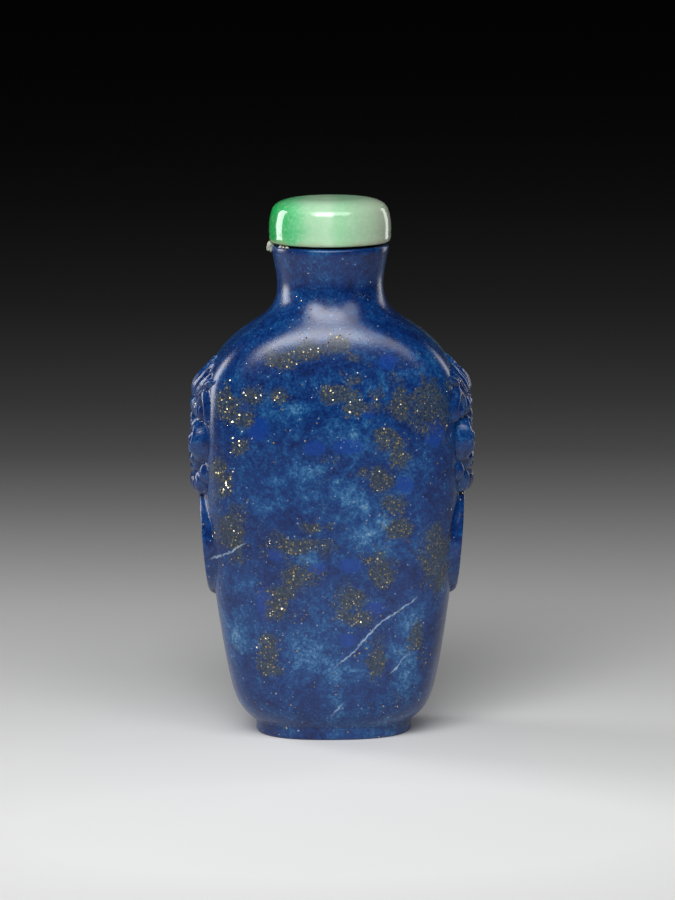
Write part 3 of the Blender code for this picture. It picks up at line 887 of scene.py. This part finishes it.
# %% Lapis: polish and relief of the grain
rough = maths(tree, "MULTIPLY_ADD", grain, 0.16, 0.16)
rough = maths(tree, "MULTIPLY_ADD", rock, 0.08, rough)
tilt = add_node(tree, "ShaderNodeVectorMath", {0: crystal_tilt, 1: (0.5, 0.5, 0.5)}, operation="SUBTRACT")
height = maths(tree, "MULTIPLY_ADD", grain, 0.5, maths(tree, "MULTIPLY", mottle, 0.6))
bump = add_node(tree, "ShaderNodeBump", {"Strength": 0.35, "Distance": 0.00005, "Height": height})
tipped = add_node(
    tree,
    "ShaderNodeVectorMath",
    {0: tilt.outputs["Vector"], 1: maths(tree, "MULTIPLY", pyrite, 0.9), 2: bump.outputs["Normal"]},
    operation="MULTIPLY_ADD",
)
normal = add_node(tree, "ShaderNodeVectorMath", {0: tipped.outputs["Vector"]}, operation="NORMALIZE")
tree.links.new(stone, shader.inputs["Base Color"])
tree.links.new(maths(tree, "MULTIPLY", pyrite, 0.85), shader.inputs["Metallic"])
tree.links.new(rough, shader.inputs["Roughness"])
tree.links.new(normal.outputs["Vector"], shader.inputs["Normal"])
shader.inputs["IOR"].default_value = 1.5
bottle.data.materials.append(lapis)

# %% [markdown]
# ## Apple-green jade
#
# Jadeite is tough and takes a glassy polish, with an index of 1.66. It is a felt of fine crystals,
# so light goes a millimetre or two into it and comes out soft. Chromium gives the green, in a cloud
# that is strong at one end of this piece and fades to pale mint and greyish white at the other.

# %% Jade: a green cloud in pale mint
jade, tree, shader, mm = new_material("polished_jadeite")
axes = add_node(tree, "ShaderNodeSeparateXYZ", {"Vector": mm})
soft = noise(tree, mm, 0.35, 4.0, 0.6)["Fac"]
felt = noise(tree, mm, 2.2, 4.0, 0.7)["Fac"]
place = maths(tree, "MULTIPLY_ADD", soft, 3.2, maths(tree, "ADD", axes.outputs["X"], -1.6))
place = maths(tree, "MULTIPLY_ADD", felt, 0.6, place)
body_green = ramp(
    tree,
    between(tree, place, -8.5, 8.5),
    (
        (0.0, "#0fa24a"), (0.06, "#22b25e"), (0.16, "#6fcf8f"), (0.3, "#aee0b6"), (0.5, "#bfe6c2"),
        (0.62, "#a3dcae"), (0.8, "#a9d3ad"), (1.0, "#b9c8b0"),
    ),
)
flaws = between(tree, felt, 0.45, 0.8)
body_green = blend(tree, maths(tree, "MULTIPLY", flaws, 0.35), body_green, linear("#dff2dc"))
low_edge = maths(tree, "MULTIPLY", between(tree, axes.outputs["Z"], 62.4, 61.4), between(tree, soft, 0.4, 0.65))
body_green = blend(tree, maths(tree, "MULTIPLY", low_edge, 0.6), body_green, linear("#b7a47c"))
tree.links.new(body_green, shader.inputs["Base Color"])
shader.inputs["Roughness"].default_value = 0.1
shader.inputs["IOR"].default_value = 1.66
shader.inputs["Subsurface Weight"].default_value = 0.35
shader.inputs["Subsurface Radius"].default_value = (0.7, 1.0, 0.7)
shader.inputs["Subsurface Scale"].default_value = 0.0015
stopper.data.materials.append(jade)

# %% [markdown]
# ## Old wax
#
# Beeswax that has dried to a cloudy crust: pale grey, dull, and light passes a little way into it.

# %% Wax crumbs
dry_wax, tree, shader, mm = new_material("dried_wax")
crust = noise(tree, mm, 3.0, 3.0, 0.6)["Fac"]
tree.links.new(ramp(tree, crust, ((0.3, "#8f9a8c"), (0.7, "#d5dace"))), shader.inputs["Base Color"])
shader.inputs["Roughness"].default_value = 0.45
shader.inputs["IOR"].default_value = 1.44
shader.inputs["Subsurface Weight"].default_value = 0.5
shader.inputs["Subsurface Scale"].default_value = 0.0006
wax.data.materials.clear()
wax.data.materials.append(dry_wax)

# %% [markdown]
# ## Floor and background
#
# The bottle stands on a pale sweep of paper that falls into shadow behind it. The floor is a wide
# disc, and that shadow is painted into its colour: a painted pool of light in front of the bottle
# that darkens with distance, as a sweep does when the light stops short of it.

# %% A pale floor with a painted pool of light
FLOOR_RADIUS = 4.0


def disc(name, radius, around):
    angle = np.linspace(0, 2 * math.pi, around, endpoint=False)
    points = np.stack([radius * np.cos(angle), radius * np.sin(angle), 0 * angle], -1)
    mesh = bpy.data.meshes.new(name)
    mesh.from_pydata(points, [], [list(range(around))])
    made = bpy.data.objects.new(name, mesh)
    bpy.context.scene.collection.objects.link(made)
    return made


floor = disc("floor", FLOOR_RADIUS, 96)
paper_with_painted_pool, tree, shader, mm = new_material("pale_paper_painted_pool")
# The painted pool of light is centred 50 mm in front of the bottle and stretched sideways
POOL_FRONT = 50.0
POOL_WIDTH = 1.8
shift_and_squeeze = {0: mm, 1: (1 / POOL_WIDTH, 1.0, 1.0), 2: (0.0, POOL_FRONT, 0.0)}
pool = add_node(tree, "ShaderNodeVectorMath", shift_and_squeeze, operation="MULTIPLY_ADD")
far = add_node(tree, "ShaderNodeVectorMath", {0: pool.outputs["Vector"]}, operation="LENGTH").outputs["Value"]
decades = maths(tree, "LOGARITHM", maths(tree, "MAXIMUM", far, 1.0), 10.0)
# Distance from the pool's middle in mm, and the painted grey there: light and shade painted into the paper's colour
PAINTED_POOL = (
    (20, 0.86), (38, 0.78), (65, 0.64), (96, 0.52), (130, 0.42), (170, 0.29), (215, 0.18), (268, 0.1),
    (330, 0.068), (493, 0.036), (742, 0.019), (1181, 0.0097), (2096, 0.0058),
)
NEAREST, FARTHEST = math.log10(PAINTED_POOL[0][0]), math.log10(PAINTED_POOL[-1][0])
share = between(tree, decades, NEAREST, FARTHEST, smooth=False)
painted_pool_grey = add_node(tree, "ShaderNodeValToRGB", {"Fac": share})
keys = painted_pool_grey.color_ramp.elements
while len(keys) < len(PAINTED_POOL):
    keys.new(0.5)
for i, (distance, grey) in enumerate(PAINTED_POOL):
    keys[i].position = (math.log10(distance) - NEAREST) / (FARTHEST - NEAREST)
for i, (distance, grey) in enumerate(PAINTED_POOL):
    keys[i].color = (grey, grey, grey, 1.0)
# Painted light and shade: the pool's grey and its falloff go into the floor's base colour
tree.links.new(painted_pool_grey.outputs["Color"], shader.inputs["Base Color"])
shader.inputs["Roughness"].default_value = 0.8
shader.inputs["Specular IOR Level"].default_value = 0.1
floor.data.materials.append(paper_with_painted_pool)

# %% [markdown]
# ## Studio light
#
# The highlights say where the lights stood, because a polished stone is a mirror with a soft edge.
# The bright patch on the shoulder and the bar on the stopper look forwards and up, to one broad
# soft box over the camera. The line down the left corner looks to a tall strip at the left and a
# little behind, and the thin rim at the right to a weaker one.

# %% Lights
MIDDLE = Vector((0.0, 0.0, 0.04))


def soft_box(name, azimuth, elevation, distance, size, glow):
    """A box of light `distance` metres from the bottle, turned to face it, with `glow` as its brightness.

    Azimuth 0 is the camera's side and 90 the bottle's right. The power is glow * pi * area.
    """
    turn, rise = math.radians(azimuth), math.radians(elevation)
    way = Vector((math.sin(turn) * math.cos(rise), -math.cos(turn) * math.cos(rise), math.sin(rise)))
    data = bpy.data.lights.new(name, "AREA")
    data.shape = "RECTANGLE"
    data.size, data.size_y = size
    data.energy = glow * math.pi * size[0] * size[1]
    light = bpy.data.objects.new(name, data)
    light.location = MIDDLE + distance * way
    light.rotation_mode = "QUATERNION"
    light.rotation_quaternion = (-way).to_track_quat("-Z", "Y")
    light.visible_camera = False
    bpy.context.scene.collection.objects.link(light)


soft_box("key_box", 2.0, 50.0, 0.75, (1.0, 0.36), 3.5)
soft_box("key_core", -12.0, 41.0, 0.74, (0.42, 0.26), 8.0)
soft_box("left_strip", -112.0, 14.0, 0.3, (0.1, 0.2), 7.0)
soft_box("right_strip", 135.0, 8.0, 0.3, (0.07, 0.18), 2.5)

world = bpy.data.worlds.new("dark_studio")
world.use_nodes = True
world.node_tree.nodes["Background"].inputs["Color"].default_value = linear("#1a1a1a")
world.node_tree.nodes["Background"].inputs["Strength"].default_value = 1.0
bpy.context.scene.world = world
bpy.context.scene.view_settings.view_transform = "Standard"

# %% [markdown]
# ## Camera
#
# The photograph was taken from about half a metre with a long lens, looking down by some ten
# degrees. The lens is for a 36 mm sensor along the picture's long side.

# %% Camera
DISTANCE = 0.48
ELEVATION = 9.5
AIM = Vector((0.0, 0.0, 0.033))
ROLL = 0.44
camera_data = bpy.data.cameras.new("camera")
camera_data.lens = 154.0
camera_data.sensor_width = 36.0
camera_data.shift_x = 0.0064
camera_data.shift_y = 0.0211
camera_data.clip_start, camera_data.clip_end = 0.05, 20.0
camera = bpy.data.objects.new("camera", camera_data)
bpy.context.scene.collection.objects.link(camera)
tilt = math.radians(ELEVATION)
camera.location = AIM + DISTANCE * Vector((0, -math.cos(tilt), math.sin(tilt)))
camera.rotation_mode = "XYZ"
camera.rotation_euler = (math.pi / 2 - tilt, 0.0, 0.0)
camera.rotation_euler.rotate_axis("Z", math.radians(-ROLL))
bpy.context.scene.camera = camera

# %% Update the scene
bpy.context.view_layer.update()
